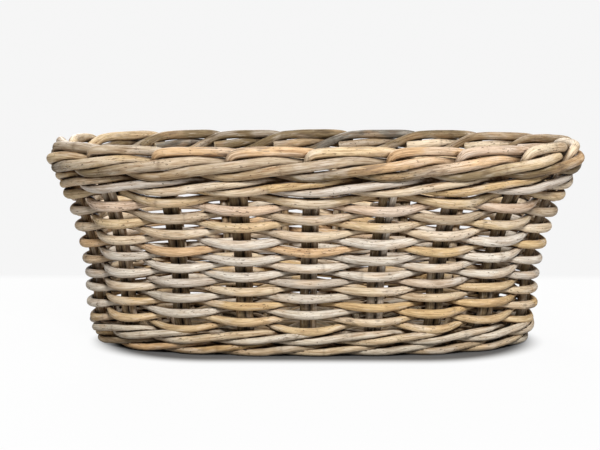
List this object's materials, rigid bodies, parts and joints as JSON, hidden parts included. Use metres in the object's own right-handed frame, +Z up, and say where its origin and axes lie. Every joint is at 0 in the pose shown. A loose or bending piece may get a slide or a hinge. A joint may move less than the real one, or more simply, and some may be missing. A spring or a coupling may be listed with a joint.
{
  "type": "oval woven basket",
  "caption": "Open oval rattan cane basket: paired stakes, close woven sides between two bands of three rod wale, a rolled plain border and a woven stick base.",
  "frame": {"origin": "middle of the foot, on the surface the basket stands on", "axes": "+X along the length to the right, +Y to the back across the width, +Z up"},
  "size_m": [0.4587, 0.2947, 0.1718],
  "materials": {
    "stake_cane": "weathered unvarnished cane, straw to grey, fine lengthwise grain",
    "bye_stake_cane": "weathered unvarnished cane, slightly darker, fine lengthwise grain",
    "weaver_cane": "weathered unvarnished cane, straw, cream and mauve grey from cane to cane",
    "wale_cane": "weathered unvarnished cane, tan to pale grey",
    "base_cane": "dull unvarnished cane"
  },
  "bodies": {
    "root": {"stake_01": "stake_cane", "stake_02": "stake_cane", "stake_03": "stake_cane", "stake_04": "stake_cane", "stake_05": "stake_cane", "stake_06": "stake_cane", "stake_07": "stake_cane", "stake_08": "stake_cane", "stake_09": "stake_cane", "stake_10": "stake_cane", "stake_11": "stake_cane", "stake_12": "stake_cane", "stake_13": "stake_cane", "stake_14": "stake_cane", "stake_15": "stake_cane", "stake_16": "stake_cane", "stake_17": "stake_cane", "stake_18": "stake_cane", "stake_19": "stake_cane", "bye_stake_01": "bye_stake_cane", "bye_stake_02": "bye_stake_cane", "bye_stake_03": "bye_stake_cane", "bye_stake_04": "bye_stake_cane", "bye_stake_05": "bye_stake_cane", "bye_stake_06": "bye_stake_cane", "bye_stake_07": "bye_stake_cane", "bye_stake_08": "bye_stake_cane", "bye_stake_09": "bye_stake_cane", "bye_stake_10": "bye_stake_cane", "bye_stake_11": "bye_stake_cane", "bye_stake_12": "bye_stake_cane", "bye_stake_13": "bye_stake_cane", "bye_stake_14": "bye_stake_cane", "bye_stake_15": "bye_stake_cane", "bye_stake_16": "bye_stake_cane", "bye_stake_17": "bye_stake_cane", "bye_stake_18": "bye_stake_cane", "bye_stake_19": "bye_stake_cane", "wall_weaver_1": "weaver_cane", "wall_weaver_2": "weaver_cane", "wall_weaver_3": "weaver_cane", "upper_wale_rod_1": "wale_cane", "upper_wale_rod_2": "wale_cane", "upper_wale_rod_3": "wale_cane", "lower_wale_rod_1": "wale_cane", "lower_wale_rod_2": "wale_cane", "lower_wale_rod_3": "wale_cane", "lower_wale_rod_4": "wale_cane", "lower_wale_rod_5": "wale_cane", "lower_wale_rod_6": "wale_cane", "base_long_stick_1": "base_cane", "base_long_stick_2": "base_cane", "base_long_stick_3": "base_cane", "base_cross_stick_1": "base_cane", "base_cross_stick_2": "base_cane", "base_cross_stick_3": "base_cane", "base_cross_stick_4": "base_cane", "base_cross_stick_5": "base_cane", "base_weaver_1": "base_cane", "base_weaver_2": "base_cane"}
  },
  "joints": []
}
